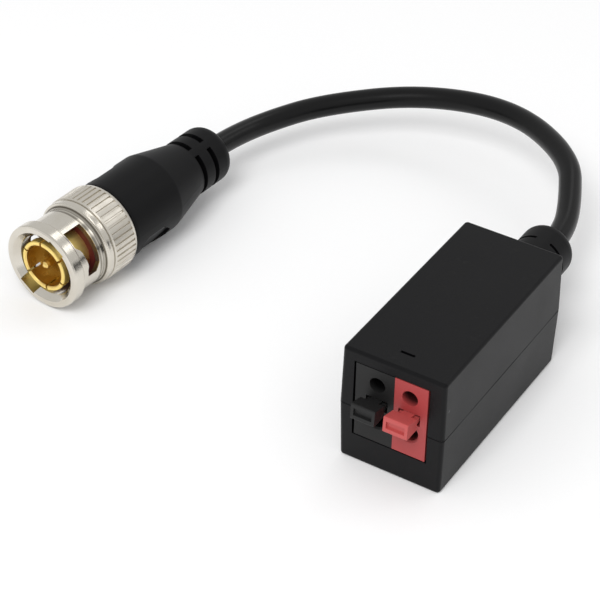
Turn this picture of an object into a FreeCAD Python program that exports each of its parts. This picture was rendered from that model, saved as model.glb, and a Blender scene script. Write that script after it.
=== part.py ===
import FreeCAD, Part
import math
import os
import Sketcher
from FreeCAD import Placement, Rotation, Vector

# Passive video balun: a two-part box with a two-pole lever terminal on its front,
# a short coaxial lead from its back, and a bayonet plug on the lead.
# Millimetres. X is across the box, -Y is the terminal's side, +Z is up,
# and the origin is the middle of the box's underside.

doc = FreeCAD.newDocument("video_balun")

# Driving values. Each is written once, here.
SIZES = [
    ("box_width", 16.36, "across, at the parting line"),
    ("box_depth", 35.35, "front to back, at the parting line"),
    ("box_height", 19.4, "both shells together"),
    ("parting_height", 9.7, "where the shells meet"),
    ("draft_angle", 1.2, "slope of the outer walls, degrees"),
    ("wall", 1.5, "shell wall at the parting line"),
    ("corner_radius", 0.6, "upright corners"),
    ("edge_radius", 0.5, "edges of the top and the underside"),
    ("parting_chamfer", 0.12, "fine V where the shells meet"),
    ("lip_width", 0.65, "tongue of the lower shell"),
    ("lip_height", 0.8, "tongue of the lower shell"),
    ("lip_clearance", 0.08, "tongue in its groove"),
    ("window_gap", 0.15, "shell above and below the terminal"),
    ("window_side_gap", 0.3, "shell beside the terminal"),
    ("latch_width", 2.2, "latch mark in the top"),
    ("latch_length", 0.45, "latch mark in the top"),
    ("latch_middle", 0.3, "latch mark in the top"),
    ("latch_depth", 0.4, "latch mark in the top"),
    ("latch_front", 3.2, "latch mark behind the front edge"),
    ("terminal_recess", 0.15, "terminal face behind the box's front"),
    ("terminal_depth", 12.5, "front to back"),
    ("terminal_headroom", 0.4, "terminal under the box's inner roof"),
    ("dark_side_room", 0.93, "dark pole beside the box's inner wall"),
    ("red_side_room", 1.23, "red pole beside the box's inner wall"),
    ("terminal_split", 0.3, "where the two poles meet"),
    ("pole_pitch", 5.08, "between the two poles"),
    ("pole_middle", 0.18, "midway between the two poles"),
    ("front_wall", 4.3, "terminal wall that the holes run through"),
    ("cavity_width", 3.8, "room for clip and lever"),
    ("cavity_floor_wall", 2.0, "terminal wall under that room"),
    ("cavity_roof_wall", 1.1, "terminal wall over that room"),
    ("wire_hole_radius", 1.4, "lower hole, for the wire"),
    ("wire_hole_rise", 3.95, "lower hole's axis above the board"),
    ("wire_hole_lead", 0.25, "its lead-in"),
    ("probe_hole_radius", 1.22, "upper hole"),
    ("probe_hole_drop", 0.1, "upper hole's axis below the middle of its place"),
    ("side_play", 0.1, "lever in its slot, each side"),
    ("slot_below", 1.15, "lever slot below the pivot axis"),
    ("slot_above", 0.75, "lever slot above the pivot axis"),
    ("lever_width", 3.2, "hub of the lever, and its slot in the terminal"),
    ("rib_width", 1.7, "raised rib on the arm, and its finger"),
    ("pivot_depth", 5.8, "pivot axis behind the terminal's face"),
    ("pivot_rise", 6.95, "pivot axis above the board"),
    ("arm_width", 3.0, "arm of the lever"),
    ("arm_half", 0.3, "half the arm's thickness"),
    ("head_width", 3.75, "finger pad"),
    ("head_reach", 3.95, "finger pad's front before the terminal's face"),
    ("head_back", 1.2, "finger pad's back before the terminal's face"),
    ("head_above", 1.85, "finger pad over the pivot axis"),
    ("head_below", 0.7, "finger pad below the pivot axis"),
    ("head_lean", 0.2, "finger pad's front leans back"),
    ("head_slope", 0.75, "finger pad's top falls to the back"),
    ("hub_radius", 1.15, "lever hub"),
    ("stub_radius", 0.6, "lever's end stubs"),
    ("stub_clearance", 0.05, "stub in the terminal's wall"),
    ("stub_reach", 0.3, "stub beyond the cavity's side"),
    ("head_pocket_width", 2.85, "dished front of the lever"),
    ("head_pocket_height", 1.15, "dished front of the lever"),
    ("clip_width", 2.6, "spring clip and contact bar"),
    ("strip_thickness", 0.4, "contact bar"),
    ("leg_width", 0.7, "solder leg of the contact bar"),
    ("leg_behind", 9.1, "leg behind the terminal's face"),
    ("leg_below", 0.8, "leg's tip below the board"),
    ("board_thickness", 1.2, "circuit board"),
    ("post_height", 2.2, "posts under the board"),
    ("board_side_gap", 0.38, "board beside the shell's inner wall"),
    ("board_front_gap", 0.3, "board behind the shell's inner wall"),
    ("board_back_gap", 1.2, "board before the shell's inner wall"),
    ("leg_hole_radius", 0.6, "holes for the solder legs"),
    ("post_side", 1.4, "square posts under the board"),
    ("core_outer", 4.7, "toroid radius"),
    ("core_inner", 2.3, "toroid bore radius"),
    ("core_lift", 0.45, "toroid above the board"),
    ("core_height", 4.2, "toroid"),
    ("cord_radius", 1.82, "coaxial lead"),
    ("jacket_strip", 4.2, "its jacket's end before the box's back"),
    ("inner_strip", 6.3, "its inner insulation's end before the box's back"),
    ("tail_reach", 0.8, "its tails beyond that"),
    ("dielectric_radius", 0.95, "its inner insulation"),
    ("conductor_radius", 0.25, "its inner wire"),
    ("braid_radius", 0.38, "braid twisted to a tail"),
    ("relief_x", 0.0, "strain relief axis"),
    ("relief_radius", 4.2, "strain relief"),
    ("relief_end", 31.2, "where the lead leaves it"),
    ("relief_neck", 3.5, "neck held by the back wall"),
    ("relief_clearance", 0.1, "neck in the back wall"),
    ("slit_width", 0.5, "flex slits"),
    ("slit_depth", 1.5, "flex slits"),
    ("slit_pitch", 2.9, "between two rows of slits"),
    ("relief_slit_sweep", 148.0, "how far round each of its slits goes, degrees"),
    ("mould_slit_sweep", 163.0, "how far round each slit of the plug's grip goes, degrees"),
    ("relief_last_slit", 4.85, "last row of slits before the relief's end"),
    ("relief_round", 1.9, "rounded end of the strain relief"),
    ("relief_web_angle", 80.0, "web between two slits, degrees above the right side"),
    ("plug_x", -63.35, "middle of the plug's front ring"),
    ("plug_y", -13.075, "middle of the plug's front ring"),
    ("plug_z", 7.22, "plug axis above the surface it lies on"),
    ("plug_heading", 5.0, "plug axis from the Y axis, degrees"),
    ("nut_ring_radius", 7.0, "front ring"),
    ("nut_mouth_radius", 5.9, "wide end of the cone inside the front ring"),
    ("nut_mouth_depth", 0.95, "depth of that cone"),
    ("nut_waist_radius", 6.35, "between front ring and collar"),
    ("collar_radius", 7.05, "smooth collar before the grip"),
    ("collar_front", 7.55, "smooth collar before the grip"),
    ("nut_knurl_radius", 7.2, "grip"),
    ("nut_bore_radius", 5.05, "mouth of the nut"),
    ("running_clearance", 0.07, "nut's inner shoulder on the plug body"),
    ("nut_length", 14.2, "coupling nut"),
    ("grip_front", 8.9, "front of the knurled grip"),
    ("grip_grooves", 46, "grooves round the grip"),
    ("groove_depth", 0.22, "grip groove"),
    ("groove_width", 0.45, "grip groove"),
    ("cam_angle", 30.0, "middle of the bayonet slot above the plug's right side"),
    ("entry_angle", 56.0, "stud's way in, on the same scale"),
    ("entry_width", 3.0, "stud's way in"),
    ("entry_reach", 6.05, "stud's way in, from the axis"),
    ("shank_radius", 4.9, "plug body where the nut turns"),
    ("flange_front", 7.8, "outer contact's flange"),
    ("flange_back", 8.4, "outer contact's flange, where the plug body begins"),
    ("gasket_front", 6.4, "gasket"),
    ("insulator_back", 14.0, "insulator"),
    ("body_back", 17.5, "plug body"),
    ("ferrule_back", 25.0, "crimped sleeve on the lead"),
    ("ferrule_wall", 0.45, "crimped sleeve on the lead"),
    ("contact_rim", 4.2, "outer contact at its rim"),
    ("contact_step", 0.25, "outer contact behind its rim, below the rim's radius"),
    ("contact_bore", 3.5, "outer contact, inside"),
    ("contact_front", 0.4, "outer contact's rim behind the front ring"),
    ("finger_slots", 6, "slots in the outer contact"),
    ("finger_slot_width", 0.35, "slots in the outer contact"),
    ("finger_slot_length", 2.7, "slots in the outer contact"),
    ("finger_slot_angle", 35.0, "first slot, degrees above the right side"),
    ("pin_radius", 0.675, "centre pin"),
    ("pin_front", 0.5, "centre pin's tip behind the front ring"),
    ("pin_root_radius", 1.0, "centre pin inside the insulator"),
    ("insulator_front", 5.2, "insulator's boss round the pin"),
    ("pin_shoulder", 0.05, "where the pin widens behind the boss's front"),
    ("mould_radius", 6.7, "moulded grip"),
    ("mould_front", 14.4, "moulded grip's front"),
    ("mould_relief", 4.82, "flexible end of the moulded grip"),
    ("cone_front", 25.2, "where the grip begins to narrow"),
    ("cone_back", 32.9, "where it ends narrowing"),
    ("cone_front_round", 1.5, "rounding where the cone begins"),
    ("cone_back_round", 2.0, "rounding where the cone ends"),
    ("mould_round", 2.0, "rounded end of the grip"),
    ("mould_slit_width", 0.95, "slits of the grip"),
    ("mould_slit_pitch", 2.95, "between two rows of them"),
    ("mould_end", 40.9, "where the lead leaves the moulded grip"),
    ("mould_web_angle", 62.0, "web between two slits, degrees above the right side"),
    ("first_slit", 33.5, "first row of slits on the moulded grip"),
    ("thumb_flat", 6.15, "thumb recess's floor from the axis"),
    ("thumb_angle", -34.0, "thumb recess, degrees above the right side"),
    ("thumb_width", 5.4, "thumb recess"),
    ("thumb_front", 16.2, "thumb recess"),
    ("thumb_back", 22.9, "thumb recess"),
]

sheet = doc.addObject("Spreadsheet::Sheet", "Sizes")
for line, (name, number, note) in enumerate(SIZES, start=1):
    sheet.set("A%d" % line, name)
    sheet.set("B%d" % line, str(number))
    sheet.set("C%d" % line, note)
    sheet.setAlias("B%d" % line, name)
doc.recompute()
SIZE = {name: number for name, number, note in SIZES}
NODES = []

# Places that follow from the driving values.
PLACES = {
    "terminal_face": "(-box_depth / 2 + terminal_recess)",
    "terminal_base": "(wall + post_height + board_thickness)",
    "terminal_top": "(box_height - wall - terminal_headroom)",
    "terminal_left": "(-box_width / 2 + wall + dark_side_room)",
    "terminal_right": "(box_width / 2 - wall - red_side_room)",
    "pivot_height": "(terminal_base + pivot_rise)",
    "slot_base": "(pivot_height - slot_below)",
    "slot_top": "(pivot_height + slot_above)",
    "wire_hole_height": "(terminal_base + wire_hole_rise)",
    "probe_hole_height": "((slot_top + terminal_top) / 2 - probe_hole_drop)",
    "cavity_floor": "(terminal_base + cavity_floor_wall)",
    "cavity_top": "(terminal_top - cavity_roof_wall)",
    "leg_tip": "(terminal_base - board_thickness - leg_below)",
    "board_width": "(box_width - 2 * wall - 2 * board_side_gap)",
    "board_front": "(-box_depth / 2 + wall + board_front_gap)",
    "board_back": "(box_depth / 2 - wall - board_back_gap)",
    "core_y": "((terminal_face + terminal_depth + box_depth / 2 - inner_strip - tail_reach) / 2)",
    "core_base": "(terminal_base + core_lift)",
}


def named(text):
    """Write out each place, and put the sheet's name before each driving value."""
    words = []
    word = ""
    for letter in text + " ":
        if letter.isalpha() or letter == "_":
            word += letter
        else:
            if word in PLACES:
                word = named(PLACES[word])
            elif word in SIZE:
                word = "Sizes." + word
            words.append(word)
            words.append(letter)
            word = ""
    return "".join(words).strip()


def value(text):
    """The number that an expression gives."""
    return float(sheet.evalExpression(named(text)))


def new_body(label, where=None):
    body = doc.addObject("PartDesign::Body", label)
    body.Label = label
    if where is not None:
        body.Placement = where
    NODES.append(body)
    return body


def sketch_on(body, name, role, offset="0", turn=0.0, about=Vector(0, 1, 0)):
    """A sketch on one of the body's own origin planes, moved along its normal and turned."""
    sketch = body.newObject("Sketcher::SketchObject", name)
    plane = [item for item in body.Origin.OriginFeatures if item.Role == role][0]
    sketch.AttachmentSupport = [(plane, "")]
    sketch.MapMode = "FlatFace"
    rotation = Rotation(about, turn)
    normal = rotation.multVec(Vector(0, 0, 1))
    sketch.AttachmentOffset = Placement(normal * value(offset), rotation)
    for axis, share in zip("xyz", normal):
        if abs(share) > 1e-9:
            sketch.setExpression("AttachmentOffset.Base." + axis, "(%s) * %.9f" % (named(offset), share))
    return sketch


def pin_down(sketch, kind, index, point, text):
    """Fix one coordinate of a sketch point from the driving values."""
    number = sketch.addConstraint(Sketcher.Constraint(kind, -1, 1, index, point, value(text)))
    sketch.setExpression("Constraints[%d]" % number, named(text))


def outline(sketch, corners):
    """A closed outline of straight lines through corners given as two expressions each."""
    first = sketch.GeometryCount
    count = len(corners)
    places = [Vector(value(across), value(along), 0) for across, along in corners]
    for step in range(count):
        sketch.addGeometry(Part.LineSegment(places[step], places[(step + 1) % count]), False)
    for step in range(count):
        following = first + (step + 1) % count
        sketch.addConstraint(Sketcher.Constraint("Coincident", first + step, 2, following, 1))
    for step, (across, along) in enumerate(corners):
        pin_down(sketch, "DistanceX", first + step, 1, across)
        pin_down(sketch, "DistanceY", first + step, 1, along)


def rectangle(sketch, left, right, low, high):
    outline(sketch, [(left, low), (right, low), (right, high), (left, high)])


def circle(sketch, across, along, radius):
    centre = Vector(value(across), value(along), 0)
    index = sketch.addGeometry(Part.Circle(centre, Vector(0, 0, 1), value(radius)), False)
    pin_down(sketch, "DistanceX", index, 3, across)
    pin_down(sketch, "DistanceY", index, 3, along)
    number = sketch.addConstraint(Sketcher.Constraint("Radius", index, value(radius)))
    sketch.setExpression("Constraints[%d]" % number, named(radius))


def extrude(body, kind, sketch, length, back=False, both=False, taper=None):
    """A pad or a pocket of a sketch."""
    feature = body.newObject("PartDesign::" + kind, kind + "_" + sketch.Name)
    feature.Profile = sketch
    feature.setExpression("Length", named(length))
    feature.Reversed = back
    if both:
        feature.SideType = "Symmetric"
    if taper:
        feature.setExpression("TaperAngle", named(taper))
    sketch.Visibility = False
    doc.recompute()
    return feature


def spin(body, kind, sketch, angle="360", both=False):
    """A revolution or a groove about the sketch's upright axis."""
    feature = body.newObject("PartDesign::" + kind, kind + "_" + sketch.Name)
    feature.Profile = sketch
    feature.ReferenceAxis = (sketch, ["V_Axis"])
    feature.setExpression("Angle", named(angle))
    feature.Midplane = both
    sketch.Visibility = False
    doc.recompute()
    return feature


def around(body, feature, count):
    """Repeat a feature round the body's own Z axis."""
    axis = [item for item in body.Origin.OriginFeatures if item.Role == "Z_Axis"][0]
    pattern = body.newObject("PartDesign::PolarPattern", "Round_" + feature.Name)
    pattern.Originals = [feature]
    pattern.Axis = (axis, [""])
    pattern.Angle = 360
    pattern.setExpression("Occurrences", named(count))
    body.Tip = pattern
    doc.recompute()
    return pattern


def soften(body, kind, amount, wanted):
    """Fillet or chamfer every edge that the test picks."""
    base = body.Tip
    names = ["Edge%d" % (n + 1) for n, edge in enumerate(base.Shape.Edges) if wanted(edge)]
    feature = body.newObject("PartDesign::" + kind, kind + "_" + base.Name)
    feature.Base = (base, names)
    feature.setExpression("Radius" if kind == "Fillet" else "Size", named(amount))
    doc.recompute()
    return feature


def ends(edge):
    return [vertex.Point for vertex in edge.Vertexes]


def level(edge, height):
    return all(abs(point.z - height) < 0.01 for point in ends(edge))


def ring(radius, height):
    """A test that picks the ring edge of that radius at that height on a turned body."""
    wide = value(radius)
    tall = value(height)

    def wanted(edge):
        if not hasattr(edge.Curve, "Radius"):
            return False
        return abs(edge.Curve.Radius - wide) < 0.01 and abs(edge.Curve.Center.z - tall) < 0.01

    return wanted


def rounded_path(points):
    """Straight runs joined by tangent arcs; returns the wire, its length and the radii."""
    share = 0.45
    edges = []
    radii = []
    last = points[0]
    for before, here, after in zip(points, points[1:], points[2:]):
        back = before - here
        ahead = after - here
        tangent = share * min(back.Length, ahead.Length)
        back.normalize()
        ahead.normalize()
        half = (math.pi - back.getAngle(ahead)) / 2
        radius = tangent / math.tan(half)
        middle = back + ahead
        middle.normalize()
        crown = here + middle * (radius / math.cos(half) - radius)
        start = here + back * tangent
        stop = here + ahead * tangent
        edges.append(Part.LineSegment(last, start).toShape())
        edges.append(Part.Arc(start, crown, stop).toShape())
        radii.append(round(radius, 1))
        last = stop
    edges.append(Part.LineSegment(last, points[-1]).toShape())
    wire = Part.Wire(edges)
    return wire, wire.Length, radii


def swept(label, points, radius):
    """A round rod along a rounded path, kept as one solid."""
    wire, length, radii = rounded_path(points)
    heading = points[1] - points[0]
    ring = Part.Wire([Part.Circle(points[0], heading, radius).toShape()])
    rod = wire.makePipeShell([ring], True, False)
    item = doc.addObject("Part::Feature", label)
    item.Label = label
    item.Shape = rod
    NODES.append(item)
    section = math.pi * radius ** 2 * length
    print(label, "length", round(length, 2), "radii", radii, "volume ratio", round(rod.Volume / section, 4))
    return item


# The shells. Both start at the parting line and narrow away from it.
def shell(label, upwards):
    body = new_body(label)
    plan = sketch_on(body, label + "_plan", "XY_Plane", "parting_height")
    rectangle(plan, "-box_width / 2", "box_width / 2", "-box_depth / 2", "box_depth / 2")
    reach = "box_height - parting_height" if upwards else "parting_height"
    extrude(body, "Pad", plan, reach, back=not upwards, taper="-draft_angle")
    soften(body, "Fillet", "corner_radius", lambda edge: abs(ends(edge)[0].z - ends(edge)[1].z) > 5)
    outside = value("box_height") if upwards else 0.0
    soften(body, "Fillet", "edge_radius", lambda edge: level(edge, outside))
    soften(body, "Chamfer", "parting_chamfer", lambda edge: level(edge, value("parting_height")))
    room = sketch_on(body, label + "_room", "XY_Plane", "parting_height")
    rectangle(
        room,
        "-box_width / 2 + wall",
        "box_width / 2 - wall",
        "-box_depth / 2 + wall",
        "box_depth / 2 - wall",
    )
    extrude(body, "Pocket", room, reach + " - wall", back=upwards)
    return body


def ring_plan(sketch, inset):
    """The tongue's plan: a frame just outside the room, as wide as the tongue plus a gap."""
    rectangle(
        sketch,
        "-box_width / 2 + wall - lip_width - " + inset,
        "box_width / 2 - wall + lip_width + " + inset,
        "-box_depth / 2 + wall - lip_width - " + inset,
        "box_depth / 2 - wall + lip_width + " + inset,
    )
    rectangle(
        sketch,
        "-box_width / 2 + wall",
        "box_width / 2 - wall",
        "-box_depth / 2 + wall",
        "box_depth / 2 - wall",
    )


def openings(body, label):
    """The terminal's window in the front wall and the relief's hole in the back wall."""
    window = sketch_on(body, label + "_window", "XZ_Plane", "box_depth / 2 + 1")
    rectangle(
        window,
        "terminal_left - window_side_gap",
        "terminal_right + window_side_gap",
        "terminal_base - window_gap",
        "terminal_top + window_gap",
    )
    extrude(body, "Pocket", window, "wall + 1.5")
    hole = sketch_on(body, label + "_hole", "XZ_Plane", "-box_depth / 2 - 1")
    circle(hole, "relief_x", "parting_height", "relief_neck + relief_clearance")
    extrude(body, "Pocket", hole, "wall + 1.5", back=True)


lower_shell = shell("lower_shell", upwards=False)
tongue = sketch_on(lower_shell, "lower_tongue", "XY_Plane", "parting_height")
ring_plan(tongue, "0")
extrude(lower_shell, "Pad", tongue, "lip_height")
posts = sketch_on(lower_shell, "lower_posts", "XY_Plane", "wall")
for side in ("-", ""):
    for along in ("board_front + 0.3", "board_back - 0.3 - post_side"):
        low = side + "(board_width / 2 - 0.2)"
        if side:
            rectangle(posts, low, low + " + post_side", along, along + " + post_side")
        else:
            rectangle(posts, low + " - post_side", low, along, along + " + post_side")
extrude(lower_shell, "Pad", posts, "post_height")
openings(lower_shell, "lower")

upper_shell = shell("upper_shell", upwards=True)
groove = sketch_on(upper_shell, "upper_groove", "XY_Plane", "parting_height")
ring_plan(groove, "lip_clearance")
extrude(upper_shell, "Pocket", groove, "lip_height + lip_clearance", back=True)
openings(upper_shell, "upper")
latch = sketch_on(upper_shell, "latch_mark", "XY_Plane", "box_height")
rectangle(
    latch,
    "latch_middle - latch_width / 2",
    "latch_middle + latch_width / 2",
    "-box_depth / 2 + latch_front",
    "-box_depth / 2 + latch_front + latch_length",
)
extrude(upper_shell, "Pocket", latch, "latch_depth")

# The lever terminal. The two poles differ in colour and in how wide their side walls are.
FACE = "terminal_face"
POLES = {
    "black": ("terminal_left", "terminal_split", "(pole_middle - pole_pitch / 2)"),
    "red": ("terminal_split", "terminal_right", "(pole_middle + pole_pitch / 2)"),
}


def terminal_body(colour, left, right, middle):
    body = new_body("terminal_body_" + colour)
    face = sketch_on(body, colour + "_face", "XZ_Plane", "-" + FACE)
    rectangle(face, left, right, "terminal_base", "terminal_top")
    extrude(body, "Pad", face, "terminal_depth", back=True)
    room = sketch_on(body, colour + "_room", "XZ_Plane", "-" + FACE + " - terminal_depth")
    half = " cavity_width / 2"
    rectangle(room, middle + " -" + half, middle + " +" + half, "cavity_floor", "cavity_top")
    extrude(body, "Pocket", room, "terminal_depth - front_wall", back=True)
    holes = sketch_on(body, colour + "_holes", "XZ_Plane", "-" + FACE)
    circle(holes, middle, "wire_hole_height", "wire_hole_radius")
    circle(holes, middle, "probe_hole_height", "probe_hole_radius")
    extrude(body, "Pocket", holes, "front_wall + 0.2")
    slot = sketch_on(body, colour + "_slot", "XZ_Plane", "-" + FACE)
    half = " (lever_width / 2 + side_play)"
    rectangle(slot, middle + " -" + half, middle + " +" + half, "slot_base", "slot_top")
    extrude(body, "Pocket", slot, "front_wall + 0.2")
    sockets = sketch_on(body, colour + "_sockets", "YZ_Plane", middle)
    circle(sockets, FACE + " + pivot_depth", "pivot_height", "stub_radius + stub_clearance")
    extrude(body, "Pocket", sockets, "cavity_width + 2 * stub_reach + 0.2", both=True)
    way = sketch_on(body, colour + "_leg_way", "XY_Plane", "terminal_base")
    half = " leg_width / 2 + 0.2"
    behind = FACE + " + leg_behind"
    rectangle(
        way,
        middle + " - (" + half + ")",
        middle + " + (" + half + ")",
        behind + " - 0.6",
        behind + " + 0.6",
    )
    extrude(body, "Pocket", way, "cavity_floor - terminal_base + 0.2", back=True)
    front = value(FACE)
    wire_height = value("wire_hole_height")

    def mouth(edge):
        on_face = all(abs(point.y - front) < 0.01 for point in ends(edge))
        round_edge = hasattr(edge.Curve, "Radius")
        return on_face and round_edge and abs(edge.Curve.Center.z - wire_height) < 0.01

    soften(body, "Chamfer", "wire_hole_lead", mouth)


def lever(colour, middle):
    body = new_body("lever_" + colour)
    arm = sketch_on(body, colour + "_arm", "YZ_Plane", middle)
    pivot = FACE + " + pivot_depth"
    neck = FACE + " - head_back - 0.2"
    outline(arm, [
        (neck, "pivot_height + 0.95"),
        (FACE + " - 0.1", "pivot_height + arm_half"),
        (pivot, "pivot_height + arm_half"),
        (pivot, "pivot_height - arm_half"),
        (FACE + " + 0.1", "pivot_height - arm_half"),
        (neck, "pivot_height - head_below"),
    ])
    extrude(body, "Pad", arm, "arm_width", both=True)
    head = sketch_on(body, colour + "_head", "YZ_Plane", middle)
    outline(head, [
        (FACE + " - head_reach", "pivot_height - head_below"),
        (FACE + " - head_reach + head_lean", "pivot_height + head_above"),
        (FACE + " - head_back", "pivot_height + head_above - head_slope"),
        (FACE + " - head_back", "pivot_height - head_below"),
    ])
    extrude(body, "Pad", head, "head_width", both=True)
    rib = sketch_on(body, colour + "_rib", "YZ_Plane", middle)
    outline(rib, [
        (neck, "pivot_height + 1.05"),
        (FACE + " + 0", "pivot_height + 0.66"),
        (pivot + " - 0.5", "pivot_height + 0.55"),
        (pivot + " - 0.5", "pivot_height"),
        (neck, "pivot_height + 0.2"),
    ])
    extrude(body, "Pad", rib, "rib_width", both=True)
    hub = sketch_on(body, colour + "_hub", "YZ_Plane", middle)
    circle(hub, pivot, "pivot_height", "hub_radius")
    extrude(body, "Pad", hub, "lever_width", both=True)
    stub = sketch_on(body, colour + "_stub", "YZ_Plane", middle)
    circle(stub, pivot, "pivot_height", "stub_radius")
    extrude(body, "Pad", stub, "cavity_width + 2 * stub_reach", both=True)
    finger = sketch_on(body, colour + "_finger", "YZ_Plane", middle)
    outline(finger, [
        (pivot + " - 0.3", "pivot_height - 0.9"),
        (pivot + " + 0.7", "pivot_height + 0.1"),
        (pivot + " + 2.55", "pivot_height - 1.1"),
        (pivot + " + 2.55", "pivot_height - 1.65"),
    ])
    extrude(body, "Pad", finger, "rib_width", both=True)
    dish = sketch_on(body, colour + "_dish", "XZ_Plane", "-" + FACE + " + 4.5")
    half = " head_pocket_width / 2"
    rectangle(
        dish,
        middle + " -" + half,
        middle + " +" + half,
        "pivot_height + (head_above - head_below) / 2 - head_pocket_height / 2",
        "pivot_height + (head_above - head_below) / 2 + head_pocket_height / 2",
    )
    extrude(body, "Pocket", dish, "1")
    tip = value(FACE) - 1.5

    def head_edge(edge):
        reach = max(point.y for point in ends(edge))
        wide = max(point.x for point in ends(edge)) - min(point.x for point in ends(edge))
        return reach < tip and wide > value("head_pocket_width") + 0.5

    soften(body, "Fillet", "0.18", head_edge)


def strip(label, middle, width, corners):
    body = new_body(label)
    side = sketch_on(body, label + "_side", "YZ_Plane", middle)
    outline(side, corners)
    extrude(body, "Pad", side, width, both=True)
    return body


for colour, (left, right, middle) in POLES.items():
    terminal_body(colour, left, right, middle)
for colour, (left, right, middle) in POLES.items():
    lever(colour, middle)

# A bent spring clip presses the wire on the contact bar; the lever's finger pushes it back.
for colour, (left, right, middle) in POLES.items():
    bar = "cavity_floor + strip_thickness"
    strip("spring_clip_" + colour, middle, "clip_width", [
        (FACE + " + 10.5", bar),
        (FACE + " + 12.2", bar),
        (FACE + " + 12.2", "cavity_top - 2.2"),
        (FACE + " + 10.4", "cavity_top - 2.2"),
        (FACE + " + 7.65", "cavity_floor + 1.4"),
        (FACE + " + 7.95", "cavity_floor + 1.25"),
        (FACE + " + 10.6", "cavity_top - 2.5"),
        (FACE + " + 11.9", "cavity_top - 2.5"),
        (FACE + " + 11.9", bar + " + 0.3"),
        (FACE + " + 10.5", bar + " + 0.3"),
    ])
    contact = strip("contact_bar_" + colour, middle, "clip_width", [
        (FACE + " + 4.8", "cavity_floor"),
        (FACE + " + 11.7", "cavity_floor"),
        (FACE + " + 11.7", bar),
        (FACE + " + 4.8", bar),
    ])
    leg = sketch_on(contact, colour + "_leg", "YZ_Plane", middle)
    behind = FACE + " + leg_behind"
    rectangle(leg, behind + " - leg_width / 2", behind + " + leg_width / 2", "leg_tip", "cavity_floor + 0.2")
    extrude(contact, "Pad", leg, "leg_width", both=True)

# The circuit board with the transformer's ring core and two small chips.
board = new_body("circuit_board")
board_plan = sketch_on(board, "board_plan", "XY_Plane", "terminal_base")
rectangle(board_plan, "-board_width / 2", "board_width / 2", "board_front", "board_back")
for colour, (left, right, middle) in POLES.items():
    circle(board_plan, middle, FACE + " + leg_behind", "leg_hole_radius")
extrude(board, "Pad", board_plan, "board_thickness", back=True)

core = new_body("toroid_core", Placement(Vector(0, value("core_y"), 0), Rotation()))
core.setExpression("Placement.Base.y", named("core_y"))
core_side = sketch_on(core, "core_side", "XZ_Plane")
rectangle(core_side, "core_inner", "core_outer", "core_base", "core_base + core_height")
spin(core, "Revolution", core_side)
soften(core, "Fillet", "0.3", lambda edge: hasattr(edge.Curve, "Radius"))


def winding(label, first_angle):
    """Turns of wire round one half of the core, with both ends brought down to the board."""
    wire = 0.3
    gap = 0.03
    turns = 6
    step = 26.0
    inner = value("core_inner") - 0.15
    outer = value("core_outer") + 0.08
    low = value("core_base") - gap
    high = value("core_base + core_height") + gap
    pieces = []
    for turn in range(turns):
        ring = Part.makeBox(outer - inner + 2 * wire, wire, high - low + 2 * wire)
        ring.translate(Vector(inner - wire, -wire / 2, low - wire))
        space = Part.makeBox(outer - inner, 3 * wire, high - low)
        space.translate(Vector(inner, -1.5 * wire, low))
        ring = ring.cut(space)
        ring.rotate(Vector(0, 0, 0), Vector(0, 0, 1), first_angle + turn * step)
        pieces.append(ring)
    sweep = (turns - 1) * step
    start = Vector(0, 0, (low + high) / 2)
    band = Part.makeCylinder(outer + wire, wire, start, Vector(0, 0, 1), sweep)
    hollow = Part.makeCylinder(outer, wire, start, Vector(0, 0, 1), 360)
    band = band.cut(hollow)
    band.rotate(Vector(0, 0, 0), Vector(0, 0, 1), first_angle)
    pieces.append(band)
    for angle in (first_angle, first_angle + sweep):
        tail = Part.makeBox(wire, wire, (low + high) / 2 - value("terminal_base"))
        tail.translate(Vector(outer, -wire / 2, value("terminal_base")))
        tail.rotate(Vector(0, 0, 0), Vector(0, 0, 1), angle)
        pieces.append(tail)
    item = doc.addObject("Part::Feature", label)
    item.Label = label
    item.Shape = pieces[0].multiFuse(pieces[1:]).removeSplitter()
    item.Placement = Placement(Vector(0, value("core_y"), 0), Rotation())
    NODES.append(item)


winding("winding_line_side", 115.0)
winding("winding_video_side", -65.0)


def chip(label, middle, along, size_x, size_y, size_z):
    item = doc.addObject("Part::Box", label)
    item.Label = label
    item.Length = size_x
    item.Width = size_y
    item.Height = size_z
    item.Placement = Placement(Vector(middle - size_x / 2, along - size_y / 2, 0), Rotation())
    item.setExpression("Placement.Base.z", named("terminal_base"))
    NODES.append(item)


chip("chip_resistor", value("2 - board_width / 2"), value("board_back - 2.6"), 1.25, 2.0, 0.5)
chip("chip_capacitor", value("board_width / 2 - 2"), value("board_back - 2.6"), 1.25, 2.0, 0.9)

# The lead's fixed end: moulded strain relief, jacket end and the two tails on the board.
TO_BACK = Rotation(Vector(1, 0, 0), Vector(0, 0, -1), Vector(0, 1, 0), "XYZ")
relief_place = Placement(Vector(value("relief_x"), 0, value("parting_height")), TO_BACK)


def bind_relief(body):
    body.setExpression("Placement.Base.x", named("relief_x"))
    body.setExpression("Placement.Base.z", named("parting_height"))


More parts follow.
